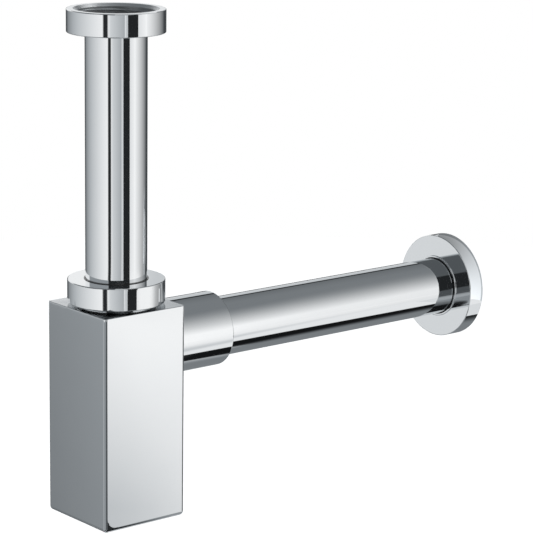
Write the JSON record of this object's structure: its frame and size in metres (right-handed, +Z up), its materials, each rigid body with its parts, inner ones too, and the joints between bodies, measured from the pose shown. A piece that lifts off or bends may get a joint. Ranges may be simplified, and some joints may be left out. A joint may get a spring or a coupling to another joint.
{
  "type": "basin trap",
  "caption": "Square chromed bottle trap that joins a basin waste to a wall drain, with union nut, gland nut, round outlet pipe and sliding wall flange.",
  "frame": {"origin": "centre of the inlet's sealing face, on top of the washer in the union nut", "axes": "+Z up along the inlet pipe, +X along the outlet pipe towards the wall"},
  "size_m": [0.2718, 0.0584, 0.2673],
  "materials": {
    "chrome": "polished chrome plate on brass",
    "rubber": "matt black rubber",
    "slip_plastic": "black nylon",
    "tube_plastic": "white moulded plastic"
  },
  "bodies": {
    "union": {"union_nut": "chrome"},
    "washer": {"inlet_washer": "rubber"},
    "inlet": {"inlet_pipe": "chrome"},
    "seal": {"cone_seal": "rubber"},
    "bottle": {"bottle": "chrome", "neck_gasket": "rubber", "dip_tube": "tube_plastic", "outlet_oring_inner": "rubber", "outlet_oring_outer": "rubber"},
    "slip": {"slip_ring": "slip_plastic"},
    "gland": {"gland_nut": "chrome"},
    "outlet": {"outlet_pipe": "chrome"},
    "flange": {"wall_flange": "chrome", "flange_grip_ring": "rubber"},
    "plug_washer": {"cleanout_washer": "rubber"},
    "plug": {"cleanout_plug": "chrome"}
  },
  "joints": [
    {"name": "union_nut_slide", "type": "slide", "parent": "union", "child": "washer", "axis": [0, 0, 1], "range_m": [0, 0.085]},
    {"name": "union_nut_turn", "type": "hinge", "parent": "washer", "child": "inlet", "pos_m": [0, 0, 0], "axis": [0, 0, 1], "continuous": true},
    {"name": "height_slide", "type": "slide", "parent": "inlet", "child": "seal", "axis": [0, 0, 1], "range_m": [-0.03, 0.034]},
    {"name": "bottle_swivel", "type": "hinge", "parent": "seal", "child": "bottle", "pos_m": [0, 0, -0.1467], "axis": [0, 0, 1], "continuous": true},
    {"name": "slip_lift", "type": "slide", "parent": "bottle", "child": "slip", "axis": [0, 0, 1], "range_m": [0, 0.00463]},
    {"name": "gland_turn", "type": "hinge", "parent": "slip", "child": "gland", "pos_m": [0, 0, -0.1392], "axis": [0, 0, 1], "range_deg": [0, 720]},
    {"name": "outlet_slide", "type": "slide", "parent": "bottle", "child": "outlet", "axis": [1, 0, 0], "range_m": [-0.007, 0.012]},
    {"name": "flange_slide", "type": "slide", "parent": "outlet", "child": "flange", "axis": [1, 0, 0], "range_m": [-0.155, 0]},
    {"name": "plug_washer_drop", "type": "slide", "parent": "bottle", "child": "plug_washer", "axis": [0, 0, -1], "range_m": [0, 0.00451]},
    {"name": "plug_turn", "type": "hinge", "parent": "plug_washer", "child": "plug", "pos_m": [0, 0, -0.2607], "axis": [0, 0, -1], "range_deg": [0, 1080]}
  ],
  "couplings": [
    {"joint": "slip_lift", "follows": "gland_turn", "m_per_rad": 0.00036749},
    {"joint": "plug_washer_drop", "follows": "plug_turn", "m_per_rad": 0.00023873}
  ]
}
